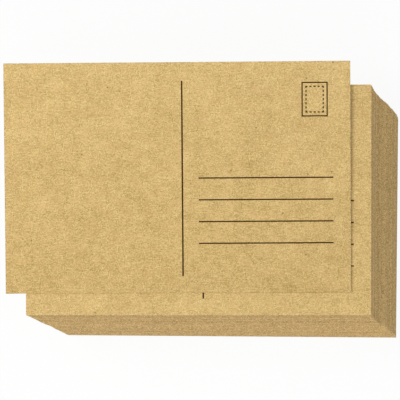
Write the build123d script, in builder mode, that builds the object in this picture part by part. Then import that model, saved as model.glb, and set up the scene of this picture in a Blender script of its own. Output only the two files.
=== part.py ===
from build123d import *

import math
import os
import random

# Pack of kraft postcards: a leaning pile of cards, with one more card lying loose on top
# Frame: +Z up, +X along the long edges of the cards, +Y towards the back edge of the pile
# Origin: centre of the underside of the bottom card
# Lengths are in millimetres and angles in degrees

# One card, cut square from plain kraft stock
card_length = 152.4
card_width = 101.6
card_thickness = 0.40

# The pile on its bottom card: bundles of cards below, single cards above them
bundle_count = 10
bundle_size = 5
single_count = 48
air_gap = 0.03

# Front left corner and turn of the top card of the pile, seen from the bottom card
lean_x = -15.0
lean_y = 13.5
lean_turn = 0.40

# How far the pile bows out of that straight lean, one full wave over its height
sway_x = -1.3
sway_y = 0.6

# How unevenly each card lies on the one below, of which it keeps the carried share
wander_offset = 0.05
wander_turn = 0.012
wander_carried = 0.75
wander_seed = 134

# Front left corner and turn of the loose card, seen from the top card of the pile that it lies on
loose_x = -8.9
loose_y = 9.5
loose_turn = 0.32

# Flat stretch of the loose card, from its left edge, and how high its right corners curl off the pile
flat_length = 68.6
curl_front = 0.3
curl_back = 1.2

card_pitch = card_thickness + air_gap
bundled_count = bundle_count * bundle_size
stack_count = 1 + bundled_count + single_count
full_wave = 2 * math.pi
curl_length = card_length - flat_length


def pile_places():
    """Front left corner and turn of each card of the pile, from the bottom card up."""
    draw = random.Random(wander_seed)
    wander_x = 0.0
    wander_y = 0.0
    wander_a = 0.0
    places = [(0.0, 0.0, 0.0)]
    for index in range(1, stack_count):
        wander_x = wander_carried * wander_x + draw.gauss(0, wander_offset)
        wander_y = wander_carried * wander_y + draw.gauss(0, wander_offset)
        wander_a = wander_carried * wander_a + draw.gauss(0, wander_turn)
        rise = index / (stack_count - 1)
        bow = math.sin(full_wave * (1 - rise))
        corner_x = lean_x * rise + sway_x * bow + wander_x
        corner_y = lean_y * rise + sway_y * bow + wander_y
        places.append((corner_x, corner_y, lean_turn * rise + wander_a))
    return places


def card_plane(place, index):
    """Plane under one card, with its origin in the front left corner and X along the long edge."""
    corner_x, corner_y, turn = place
    corner = (corner_x - card_length / 2, corner_y - card_width / 2, index * card_pitch)
    long_edge = (math.cos(math.radians(turn)), math.sin(math.radians(turn)), 0)
    return Plane(origin=corner, x_dir=long_edge, z_dir=(0, 0, 1))


def cut_cards(name, planes):
    """Cuts one card on each plane and writes them as one node of separate solids."""
    with BuildPart() as cards:
        for plane in planes:
            with BuildSketch(plane):
                Rectangle(card_length, card_width, align=(Align.MIN, Align.MIN))
            extrude(amount=card_thickness)
    cards.part.label = name
    export_step(cards.part, f"parts/{name}.step")


def curl_outline(plane, rise):
    """Side of the curled end: an arc that leaves the flat stretch and ends higher by the rise."""
    with BuildSketch(plane) as outline:
        with BuildLine():
            TangentArc((0, 0), (curl_length, rise), tangent=(1, 0))
            Line((curl_length, rise), (curl_length, rise + card_thickness))
            TangentArc((0, card_thickness), (curl_length, rise + card_thickness), tangent=(1, 0))
            Line((0, card_thickness), (0, 0))
        make_face()
    return outline.sketch


def curl_card(name, plane):
    """Cuts a card whose left end lies flat and whose right end curls up, more at the back than in front."""
    bend = plane.from_local_coords((flat_length, 0, 0))
    front_edge = Plane(origin=bend, x_dir=plane.x_dir, z_dir=-plane.y_dir)
    back_edge = front_edge.offset(-card_width)
    sides = [curl_outline(front_edge, curl_front), curl_outline(back_edge, curl_back)]
    with BuildPart() as card:
        with BuildSketch(plane):
            Rectangle(flat_length, card_width, align=(Align.MIN, Align.MIN))
        extrude(amount=card_thickness)
        loft(sides, ruled=True)
    card.part.label = name
    export_step(card.part, f"parts/{name}.step")


os.makedirs("parts", exist_ok=True)

places = pile_places()
pile = [card_plane(place, index) for index, place in enumerate(places)]

# Bottom card, which carries the rest
cut_cards("base_card", pile[:1])

# Lower half of the pile, in bundles that are lifted and drawn out together
for bundle in range(bundle_count):
    first = 1 + bundle * bundle_size
    cut_cards(f"stack_bundle_{bundle + 1:02d}", pile[first : first + bundle_size])

# Upper half of the pile, card by card
for single in range(single_count):
    index = 1 + bundled_count + single
    cut_cards(f"stack_card_{single + 1:02d}", pile[index : index + 1])

# Loose card, seated on the top card of the pile
top_x, top_y, top_turn = places[-1]
loose_place = (top_x + loose_x, top_y + loose_y, top_turn + loose_turn)
curl_card("loose_card", card_plane(loose_place, stack_count))
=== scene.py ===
import bmesh
import bpy
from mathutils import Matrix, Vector


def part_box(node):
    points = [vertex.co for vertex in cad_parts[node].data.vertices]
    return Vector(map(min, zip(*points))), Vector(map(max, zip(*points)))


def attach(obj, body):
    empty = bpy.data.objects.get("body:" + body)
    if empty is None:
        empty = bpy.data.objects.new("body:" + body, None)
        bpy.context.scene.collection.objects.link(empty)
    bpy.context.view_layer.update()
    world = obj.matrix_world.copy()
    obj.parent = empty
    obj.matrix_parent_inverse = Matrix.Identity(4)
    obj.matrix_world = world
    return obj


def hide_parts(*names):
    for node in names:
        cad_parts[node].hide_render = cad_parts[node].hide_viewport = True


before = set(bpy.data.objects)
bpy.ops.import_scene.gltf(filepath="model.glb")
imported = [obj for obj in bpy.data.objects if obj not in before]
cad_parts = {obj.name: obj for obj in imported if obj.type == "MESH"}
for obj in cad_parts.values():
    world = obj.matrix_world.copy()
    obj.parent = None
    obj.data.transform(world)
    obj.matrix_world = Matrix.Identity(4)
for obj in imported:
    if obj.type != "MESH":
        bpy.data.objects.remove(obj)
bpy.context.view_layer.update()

# Millimetres, in the metres of the scene
MM = 0.001

# The cards: one lies loose, the others make the pile
LOOSE = "loose_card"
PILE = sorted(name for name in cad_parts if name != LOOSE)
SINGLES = [name for name in PILE if name.startswith("stack_card_")]
CARD_PITCH = (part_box(SINGLES[1])[0].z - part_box(SINGLES[0])[0].z) / MM
CARD_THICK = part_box(SINGLES[0])[1].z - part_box(SINGLES[0])[0].z
LEVEL_ROOM = 0.05 * MM

# The print on every card, in millimetres from the card's left, right, front or back edge
DIVIDER_FROM_LEFT = 78.45
DIVIDER_FROM_BACK = 8.2
DIVIDER_FROM_FRONT = 7.4
DIVIDER_THICK = 0.68
ADDRESS_LINES = 4
ADDRESS_FROM_LEFT = 85.6
ADDRESS_FROM_RIGHT = 7.6
ADDRESS_FROM_BACK = 51.0
ADDRESS_PITCH = 9.6
ADDRESS_THICK = 0.60
STAMP_FROM_RIGHT = 9.9
STAMP_FROM_BACK = 9.1
STAMP_WIDE = 11.5
STAMP_TALL = 15.2
STAMP_THICK = 0.55
STAMP_INSET = 1.7
STAMP_DASHES_WIDE = 5
STAMP_DASHES_TALL = 7
STAMP_DASH_SHARE = 0.55
INK_RISE = 0.012
INK_SINK = 0.002

# The loose card lies flat at its left end and curls off the pile at its right corners, in millimetres
FLAT_LENGTH = 68.6
CURL_FRONT = 0.3
CURL_BACK = 1.2
LOOSE_CELLS_LONG = 48
LOOSE_CELLS_WIDE = 32

# Kraft stock: colours as the shaders take them, and the middle between its dark and its light one
MIDDLE = 0.5
KRAFT_LIGHT = (0.900, 0.660, 0.292, 1)
KRAFT_DARK = (0.415, 0.268, 0.076, 1)
KRAFT_WARM = (0.715, 0.455, 0.185, 1)
FIBRE_PALE = (0.855, 0.626, 0.286, 1)
FIBRE_BROWN = (0.430, 0.280, 0.095, 1)
SPECK_BROWN = (0.260, 0.160, 0.055, 1)
EDGE_LIGHT = (0.850, 0.690, 0.450, 1)
EDGE_DARK = (0.450, 0.340, 0.200, 1)

# Layers of pulp, from clouds to grain: size in millimetres, detail and strength
PULP_LAYERS = ((18.0, 1.0, 0.25), (4.5, 1.0, 0.38), (1.1, 2.0, 0.78), (0.5, 1.0, 1.36))

# Warmer patches over the pulp: size in millimetres, between which levels of noise, and how strongly
WARM_SIZE = 5.0
WARM_FROM = 0.45
WARM_TO = 0.65
WARM_SHARE = 0.25

# Fibres lying in the face: turn in radians, colour and how strongly they show
FIBRES = ((0.50, FIBRE_PALE, 0.55), (-0.95, FIBRE_BROWN, 0.45), (1.75, FIBRE_PALE, 0.45))
FIBRE_LONG = 3.0
FIBRE_THICK = 0.35
FIBRE_FROM = 0.62
FIBRE_TO = 0.74
FIBRE_WAVE = 0.7

# Brown specks: one in some of the cells of a grid, sizes in shares of a cell
SPECK_CELL = 11.0
SPECK_CHANCE = 0.90
SPECK_CORE = 0.024
SPECK_RIM = 0.046
SPECK_SHOWS = 0.80

# Each card of the pile has its own stretch of stock and its own tone
CARD_SHIFT = (31.7, 17.3, 5.9)
LEVEL_ROUNDING = 0.03
TONE_DRAW = 194
CARD_TONE = 0.13

# The cut edges: how far a face leans to count as one, the tone of each card and layers of pulp as above
EDGE_LEANS = 0.5
EDGE_TONE = 0.36
EDGE_LAYERS = ((22.0, 1.0, 0.4), (1.1, 2.0, 0.6), (0.5, 1.0, 1.6))

# The rim of each face, where the cut edge shows through in lighter and darker patches, in millimetres,
# and the share of probes that stay inside the card, at the very edge and away from it
RIM_WIDE = 0.30
RIM_LAYERS = ((5.0, 1.0, 3.4), (1.1, 1.0, 2.6), (0.5, 1.0, 6.5))
RIM_SHOWS = 0.40
RIM_PROBES = 6
INSIDE_AT_EDGE = 0.5
INSIDE_AWAY = 1.0

# The loose card is a little darker than the pile in its own tone; painted shade darkens it towards its
# front edge and lightens it towards its back
LOOSE_FRONT_TONE_AND_PAINTED_SHADE = -0.12
LOOSE_BACK_TONE_AND_PAINTED_LIGHT = 0.05
# A painted shadow line darkens the loose card's rim all round, as where it lies on the pile
LOOSE_RIM_PAINTED_SHADOW = -0.8

# How rough and how matte the stock is
PULP_BUMP = 0.25
PULP_DEPTH = 0.05 * MM
PULP_ROUGH = (0.84, 0.96)
KRAFT_GLOSS = 0.18

# Printing ink, and where it is worn
INK_BROWN = (0.052, 0.022, 0.002, 1)
INK_WORN = (0.115, 0.066, 0.018, 1)
INK_PATCH = 0.8
INK_DETAIL = 2.0
INK_WORN_FROM = 0.66
INK_WORN_TO = 0.86
INK_ROUGH = (0.55, 0.80)
INK_GLOSS = 0.06

# The floor and the light
WHITE = (1, 1, 1, 1)
FLOOR_WHITE = (0.90, 0.90, 0.90, 1)
FLOOR_ROUGH = 0.9
FLOOR_SIDE = 6.0
FLOOR_DROP = 0.02 * MM
FLOOR_GLOW = 0.90
WORLD_LIGHT = 0.56
WORLD_SEEN = 1.0
KEY_PLACE = (-0.82, 0.30, 0.85)
KEY_SIDE = 0.6
KEY_POWER = 7.05
FILL_PLACE = (0.0, -1.0, 0.45)
FILL_SIDE = 0.8
FILL_POWER = 3.9

# The camera, over the pile and looking down on it
CAMERA_PLACE = (-0.45 * MM, 44.18 * MM, 835.70 * MM)
CAMERA_TURN = (-0.0377, 0.0179, 0.0055)
CAMERA_SENSOR = 36.0
CAMERA_LENS = 162.14

# Sockets of a mix node when it mixes colours
MIX_FACTOR, MIX_FIRST, MIX_SECOND = 0, 6, 7
MIX_RESULT = 2


# Places on the cards


def face_corners(node):
    """Front left, front right and back left corner of a node's uppermost face, where it lies flat."""
    low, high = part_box(node)
    level = low.z + CARD_THICK if node == LOOSE else high.z
    points = [v.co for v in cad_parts[node].data.vertices if v.co.z > level - LEVEL_ROOM]
    front_left = min(points, key=lambda p: p.x + p.y)
    front_right = max(points, key=lambda p: p.x - p.y)
    back_left = min(points, key=lambda p: p.x - p.y)
    return [Vector((p.x, p.y, level)) for p in (front_left, front_right, back_left)]


class CardFace:
    """The written face of a node's top card, measured in metres from its front left corner."""

    def __init__(self, node):
        self.corner, front_right, back_left = face_corners(node)
        self.long = (front_right - self.corner).length
        self.wide = (back_left - self.corner).length
        self.along = (front_right - self.corner).normalized()
        self.across = (back_left - self.corner).normalized()
        self.curled = node == LOOSE

    def point(self, u, v, rise=0.0):
        lift = self.curl(u, v) if self.curled else 0.0
        return self.corner + self.along * u + self.across * v + Vector((0, 0, rise + lift))

    def curl(self, u, v):
        """How far the card stands off the pile: it rises in an arc from the end of its flat stretch."""
        flat = FLAT_LENGTH * MM
        share = max(0.0, (u - flat) / (self.long - flat))
        corner = CURL_FRONT + (CURL_BACK - CURL_FRONT) * v / self.wide
        return corner * MM * share * share


# Meshes


def add_piece(name, mesh_builder, material, body):
    """Makes an object of a finished bmesh, and lets it ride on a body."""
    mesh = bpy.data.meshes.new(name)
    mesh_builder.to_mesh(mesh)
    mesh_builder.free()
    piece = bpy.data.objects.new(name, mesh)
    piece.data.materials.append(material)
    bpy.context.scene.collection.objects.link(piece)
    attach(piece, body)
    return piece


def add_slab(bm, face, low, high, cells, rises):
    """Adds a closed slab on a card face, between two corners, with its cells bent along with the face."""
    (u0, v0), (u1, v1) = low, high
    columns, rows = cells
    us = [u0 + (u1 - u0) * i / columns for i in range(columns + 1)]
    vs = [v0 + (v1 - v0) * j / rows for j in range(rows + 1)]
    lower, upper = ([[bm.verts.new(face.point(u, v, rise)) for v in vs] for u in us] for rise in rises)
    for i in range(columns):
        for j in range(rows):
            bm.faces.new((upper[i][j], upper[i + 1][j], upper[i + 1][j + 1], upper[i][j + 1]))
            bm.faces.new((lower[i][j], lower[i][j + 1], lower[i + 1][j + 1], lower[i + 1][j]))
    for i in range(columns):
        bm.faces.new((lower[i][0], lower[i + 1][0], upper[i + 1][0], upper[i][0]))
        bm.faces.new((lower[i + 1][rows], lower[i][rows], upper[i][rows], upper[i + 1][rows]))
    for j in range(rows):
        bm.faces.new((lower[0][j + 1], lower[0][j], upper[0][j], upper[0][j + 1]))
        bm.faces.new((lower[columns][j], lower[columns][j + 1], upper[columns][j + 1], upper[columns][j]))


def line_bars(face):
    """Corners of the divider and the address lines on a card face."""
    half = DIVIDER_THICK * MM / 2
    middle = DIVIDER_FROM_LEFT * MM
    front = DIVIDER_FROM_FRONT * MM
    back = face.wide - DIVIDER_FROM_BACK * MM
    bars = [((middle - half, front), (middle + half, back))]
    half = ADDRESS_THICK * MM / 2
    left = ADDRESS_FROM_LEFT * MM
    right = face.long - ADDRESS_FROM_RIGHT * MM
    for line in range(ADDRESS_LINES):
        v = face.wide - (ADDRESS_FROM_BACK + ADDRESS_PITCH * line) * MM
        bars.append(((left, v - half), (right, v + half)))
    return bars


def stamp_bars(face):
    """Corners of the bars of the stamp place: a plain frame with a dashed frame inside it."""
    right = face.long - STAMP_FROM_RIGHT * MM
    back = face.wide - STAMP_FROM_BACK * MM
    left = right - STAMP_WIDE * MM
    front = back - STAMP_TALL * MM
    thick = STAMP_THICK * MM
    bars = [
        ((left, back - thick), (right, back)),
        ((left, front), (right, front + thick)),
        ((left, front + thick), (left + thick, back - thick)),
        ((right - thick, front + thick), (right, back - thick)),
    ]
    inset = STAMP_INSET * MM
    for u0, u1 in dashes(left + inset, right - inset, STAMP_DASHES_WIDE):
        for v in (front + inset, back - inset - thick):
            bars.append(((u0, v), (u1, v + thick)))
    for v0, v1 in dashes(front + inset, back - inset, STAMP_DASHES_TALL):
        below = max(v0, front + inset + thick)
        above = min(v1, back - inset - thick)
        for u in (left + inset, right - inset - thick):
            bars.append(((u, below), (u + thick, above)))
    return bars


def dashes(start, end, count):
    """Ends of evenly spaced dashes that begin and end with a dash."""
    pitch = (end - start) / (count - 1 + STAMP_DASH_SHARE)
    return [(start + pitch * k, start + pitch * (k + STAMP_DASH_SHARE)) for k in range(count)]


def add_print(node, face, material):
    """Prints one card: thin bars of ink on its written face."""
    bm = bmesh.new()
    for low, high in line_bars(face) + stamp_bars(face):
        lies_along = high[0] - low[0] > high[1] - low[1]
        columns = LOOSE_CELLS_LONG if face.curled and lies_along else 1
        rows = LOOSE_CELLS_WIDE if face.curled and not lies_along else 1
        add_slab(bm, face, low, high, (columns, rows), (-INK_SINK * MM, INK_RISE * MM))
    add_piece("print_" + node, bm, material, node)


def add_loose_card(face, material):
    """The loose card, finely divided, so that its curl is smooth."""
    bm = bmesh.new()
    cells = (LOOSE_CELLS_LONG, LOOSE_CELLS_WIDE)
    add_slab(bm, face, (0, 0), (face.long, face.wide), cells, (-CARD_THICK, 0.0))
    card = add_piece("loose_card_curled", bm, material, LOOSE)
    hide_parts(LOOSE)


# Shader nodes


class Shading:
    """A material under construction: adds nodes, links what is a socket and sets the rest."""

    def __init__(self, name):
        self.material = bpy.data.materials.new(name)
        self.material.use_nodes = True
        self.tree = self.material.node_tree
        self.surface = self.tree.nodes["Principled BSDF"]

    def node(self, kind, inputs, output=0, **settings):
        made = self.tree.nodes.new(kind)
        for name, value in settings.items():
            setattr(made, name, value)
        for key, value in inputs.items():
            self.feed(made, key, value)
        return made.outputs[output]

    def feed(self, node, key, value):
        if isinstance(value, bpy.types.NodeSocket):
            self.tree.links.new(value, node.inputs[key])
        else:
            node.inputs[key].default_value = value

    def math(self, operation, *values):
        return self.node("ShaderNodeMath", dict(enumerate(values)), operation=operation)

    def vector(self, operation, a, b):
        return self.node("ShaderNodeVectorMath", {0: a, 1: b}, operation=operation)

    def part(self, vector, axis):
        return self.node("ShaderNodeSeparateXYZ", {0: vector}, output=axis)

    def noise(self, place, size, detail=1.0, wave=0.0):
        inputs = {"Vector": place, "Scale": 1 / size, "Detail": detail, "Distortion": wave}
        return self.node("ShaderNodeTexNoise", inputs, noise_dimensions="2D")

    def span(self, value, low, high, to_low=0.0, to_high=1.0):
        inputs = {"Value": value, "From Min": low, "From Max": high, "To Min": to_low, "To Max": to_high}
        return self.node("ShaderNodeMapRange", inputs)

    def mix(self, factor, a, b):
        inputs = {MIX_FACTOR: factor, MIX_FIRST: a, MIX_SECOND: b}
        return self.node("ShaderNodeMix", inputs, output=MIX_RESULT, data_type="RGBA")

    def place_mm(self):
        """Place on the part at rest, in millimetres."""
        coordinates = self.node("ShaderNodeTexCoord", {}, output="Object")
        return self.vector("MULTIPLY", coordinates, (1 / MM, 1 / MM, 1 / MM))


# Materials


def card_level(shading, place):
    """Number of the card in the pile, counted up from the bottom."""
    height = shading.part(place, "Z")
    return shading.math("FLOOR", shading.math("MULTIPLY_ADD", height, 1 / CARD_PITCH, LEVEL_ROUNDING))


def layered(shading, place, layers):
    """Sum of noise layers, each about its own middle, around the middle of the stock."""
    total = MIDDLE - MIDDLE * sum(strength for size, detail, strength in layers)
    for size, detail, strength in layers:
        total = shading.math("MULTIPLY_ADD", shading.noise(place, size, detail), strength, total)
    return total


def with_fibres(shading, place, colour):
    """Lays pale and brown fibres into a colour, each kind in its own direction."""
    for turn, fibre, shows in FIBRES:
        scale = (1 / FIBRE_LONG, 1 / FIBRE_THICK, 1)
        stretch = {"Vector": place, "Rotation": (0, 0, turn), "Scale": scale}
        strands = shading.noise(shading.node("ShaderNodeMapping", stretch), 1.0, wave=FIBRE_WAVE)
        colour = shading.mix(shading.span(strands, FIBRE_FROM, FIBRE_TO, 0.0, shows), colour, fibre)
    return colour


def with_specks(shading, place, colour):
    """Scatters a few brown specks over a colour."""
    cells = {"Vector": place, "Scale": 1 / SPECK_CELL}
    distance = shading.node("ShaderNodeTexVoronoi", cells, voronoi_dimensions="2D")
    chance = shading.node("ShaderNodeSeparateColor", {0: distance.node.outputs["Color"]})
    chosen = shading.math("GREATER_THAN", chance, SPECK_CHANCE)
    speck = shading.span(distance, SPECK_CORE, SPECK_RIM, SPECK_SHOWS, 0.0)
    return shading.mix(shading.math("MULTIPLY", speck, chosen), colour, SPECK_BROWN)


def card_draw(shading, level):
    """A number between minus one and one for each card of the pile."""
    draw = {"W": shading.math("ADD", level, TONE_DRAW)}
    number = shading.node("ShaderNodeTexWhiteNoise", draw, noise_dimensions="1D")
    return shading.span(number, 0.0, 1.0, -1.0, 1.0)


def face_rim(shading):
    """One on the face at a cut edge, and nought from the width of the rim inwards."""
    probe = {"Distance": RIM_WIDE * MM}
    settings = {"inside": True, "only_local": True, "samples": RIM_PROBES}
    inside = shading.node("ShaderNodeAmbientOcclusion", probe, "AO", **settings)
    return shading.span(inside, INSIDE_AT_EDGE, INSIDE_AWAY, 1.0, 0.0)


def loose_tone_and_painted_shade(shading, place):
    """Tone of the loose card against the pile, with painted shade: darker towards its front edge, lighter
    towards its back.
    """
    low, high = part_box(LOOSE)
    towards_back = shading.part(place, "Y")
    return shading.span(towards_back, low.y / MM, high.y / MM, LOOSE_FRONT_TONE_AND_PAINTED_SHADE, LOOSE_BACK_TONE_AND_PAINTED_LIGHT)


def kraft(name, in_pile):
    """Kraft card: cloudy pulp with fibres and specks in its faces, and a paler cut edge."""
    shading = Shading(name)
    place = shading.place_mm()
    edge_tone = rim_painted_shadow = 0.0
    if in_pile:
        level = card_level(shading, place)
        levels = shading.node("ShaderNodeCombineXYZ", {0: level, 1: level, 2: level})
        place = shading.vector("ADD", place, shading.vector("MULTIPLY", levels, CARD_SHIFT))
        draw = card_draw(shading, level)
        tone_and_painted_shade = shading.math("MULTIPLY", draw, CARD_TONE)
        edge_tone = shading.math("MULTIPLY", draw, EDGE_TONE)
    else:
        # The loose card's tone carries painted shade: darker towards its front edge, lighter towards its
        # back
        tone_and_painted_shade = loose_tone_and_painted_shade(shading, place)
        # Painted shadow line along the loose card's rim
        rim_painted_shadow = LOOSE_RIM_PAINTED_SHADOW
    pulp = shading.math("ADD", layered(shading, place, PULP_LAYERS), tone_and_painted_shade)
    rim = face_rim(shading)
    patches = layered(shading, place, RIM_LAYERS)
    # The rim patches; on the loose card the rim is also darkened as a painted shadow line
    shade = shading.math("MULTIPLY_ADD", rim, shading.math("ADD", patches, rim_painted_shadow - MIDDLE), pulp)
    colour = shading.mix(shade, KRAFT_DARK, KRAFT_LIGHT)
    warm = shading.span(shading.noise(place, WARM_SIZE), WARM_FROM, WARM_TO, 0.0, WARM_SHARE)
    colour = shading.mix(warm, colour, KRAFT_WARM)
    colour = with_fibres(shading, place, colour)
    colour = with_specks(shading, place, colour)

    facing = shading.node("ShaderNodeNewGeometry", {}, output="True Normal")
    is_edge = shading.math("LESS_THAN", shading.math("ABSOLUTE", shading.part(facing, "Z")), EDGE_LEANS)
    cut = shading.math("ADD", layered(shading, place, EDGE_LAYERS), edge_tone)
    shows = shading.math("MAXIMUM", is_edge, shading.math("MULTIPLY", rim, RIM_SHOWS))
    colour = shading.mix(shows, colour, shading.mix(cut, EDGE_DARK, EDGE_LIGHT))

    bump = {"Height": pulp, "Strength": PULP_BUMP, "Distance": PULP_DEPTH}
    shading.feed(shading.surface, "Base Color", colour)
    shading.feed(shading.surface, "Roughness", shading.span(pulp, 0.0, 1.0, *PULP_ROUGH))
    shading.feed(shading.surface, "Normal", shading.node("ShaderNodeBump", bump))
    shading.surface.inputs["Specular IOR Level"].default_value = KRAFT_GLOSS
    return shading.material


def ink():
    """Brown black printing ink, thin enough for the pulp to show through in places."""
    shading = Shading("printing_ink")
    patch = shading.noise(shading.place_mm(), INK_PATCH, INK_DETAIL)
    worn = shading.span(patch, INK_WORN_FROM, INK_WORN_TO)
    shading.feed(shading.surface, "Base Color", shading.mix(worn, INK_BROWN, INK_WORN))
    shading.feed(shading.surface, "Roughness", shading.span(patch, 0.0, 1.0, *INK_ROUGH))
    shading.surface.inputs["Specular IOR Level"].default_value = INK_GLOSS
    return shading.material


def seen_rays(tree):
    """One for rays from the camera, a mirror or glass, and nought for the light on the part."""
    rays = tree.nodes.new("ShaderNodeLightPath")
    seen = rays.outputs["Is Camera Ray"]
    for kind in ("Is Glossy Ray", "Is Transmission Ray"):
        either = tree.nodes.new("ShaderNodeMath")
        either.operation = "MAXIMUM"
        tree.links.new(seen, either.inputs[0])
        tree.links.new(rays.outputs[kind], either.inputs[1])
        seen = either.outputs[0]
    return seen


def floor_paper():
    """White sweep: the camera sees it nearly white, with the soft shadow left in it."""
    shading = Shading("white_sweep")
    shading.surface.inputs["Base Color"].default_value = FLOOR_WHITE
    shading.surface.inputs["Roughness"].default_value = FLOOR_ROUGH
    glow = shading.node("ShaderNodeEmission", {"Color": WHITE, "Strength": 1.0})
    share = shading.math("MULTIPLY", seen_rays(shading.tree), FLOOR_GLOW)
    both = shading.node("ShaderNodeMixShader", {0: share, 1: shading.surface.outputs[0], 2: glow})
    shading.tree.links.new(both, shading.tree.nodes["Material Output"].inputs["Surface"])
    return shading.material


# Stage, lights and camera


def add_floor():
    bm = bmesh.new()
    bmesh.ops.create_grid(bm, x_segments=1, y_segments=1, size=FLOOR_SIDE / 2)
    mesh = bpy.data.meshes.new("floor")
    bm.to_mesh(mesh)
    bm.free()
    floor = bpy.data.objects.new("floor", mesh)
    floor.location.z = -FLOOR_DROP
    floor.data.materials.append(floor_paper())
    bpy.context.scene.collection.objects.link(floor)


def add_area_light(name, place, side, power):
    """A square soft light that looks at the middle of the part."""
    light = bpy.data.lights.new(name, "AREA")
    light.shape = "SQUARE"
    light.size = side
    light.energy = power
    lamp = bpy.data.objects.new(name, light)
    lamp.location = place
    lamp.rotation_euler = (-Vector(place)).to_track_quat("-Z", "Y").to_euler()
    bpy.context.scene.collection.objects.link(lamp)


def light_world():
    """Even light from all round, and white where the camera looks past the floor."""
    world = bpy.data.worlds.new("studio")
    world.use_nodes = True
    tree = world.node_tree
    background = tree.nodes["Background"]
    background.inputs["Color"].default_value = WHITE
    level = tree.nodes.new("ShaderNodeMapRange")
    level.inputs["To Min"].default_value = WORLD_LIGHT
    level.inputs["To Max"].default_value = WORLD_SEEN
    tree.links.new(seen_rays(tree), level.inputs["Value"])
    tree.links.new(level.outputs[0], background.inputs["Strength"])
    bpy.context.scene.world = world


def add_camera():
    camera = bpy.data.cameras.new("camera")
    camera.sensor_width = CAMERA_SENSOR
    camera.lens = CAMERA_LENS
    eye = bpy.data.objects.new("camera", camera)
    eye.location = CAMERA_PLACE
    eye.rotation_euler = CAMERA_TURN
    bpy.context.scene.collection.objects.link(eye)
    bpy.context.scene.camera = eye


# The dressed cards

pile_kraft = kraft("kraft_pile", in_pile=True)
loose_kraft = kraft("kraft_loose", in_pile=False)
printing_ink = ink()

for node in PILE:
    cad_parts[node].data.materials.clear()
    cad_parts[node].data.materials.append(pile_kraft)
    add_print(node, CardFace(node), printing_ink)

loose_face = CardFace(LOOSE)
add_loose_card(loose_face, loose_kraft)
add_print(LOOSE, loose_face, printing_ink)

add_floor()
light_world()
add_area_light("key", KEY_PLACE, KEY_SIDE, KEY_POWER)
add_area_light("front_fill", FILL_PLACE, FILL_SIDE, FILL_POWER)
add_camera()
bpy.context.scene.view_settings.view_transform = "Standard"
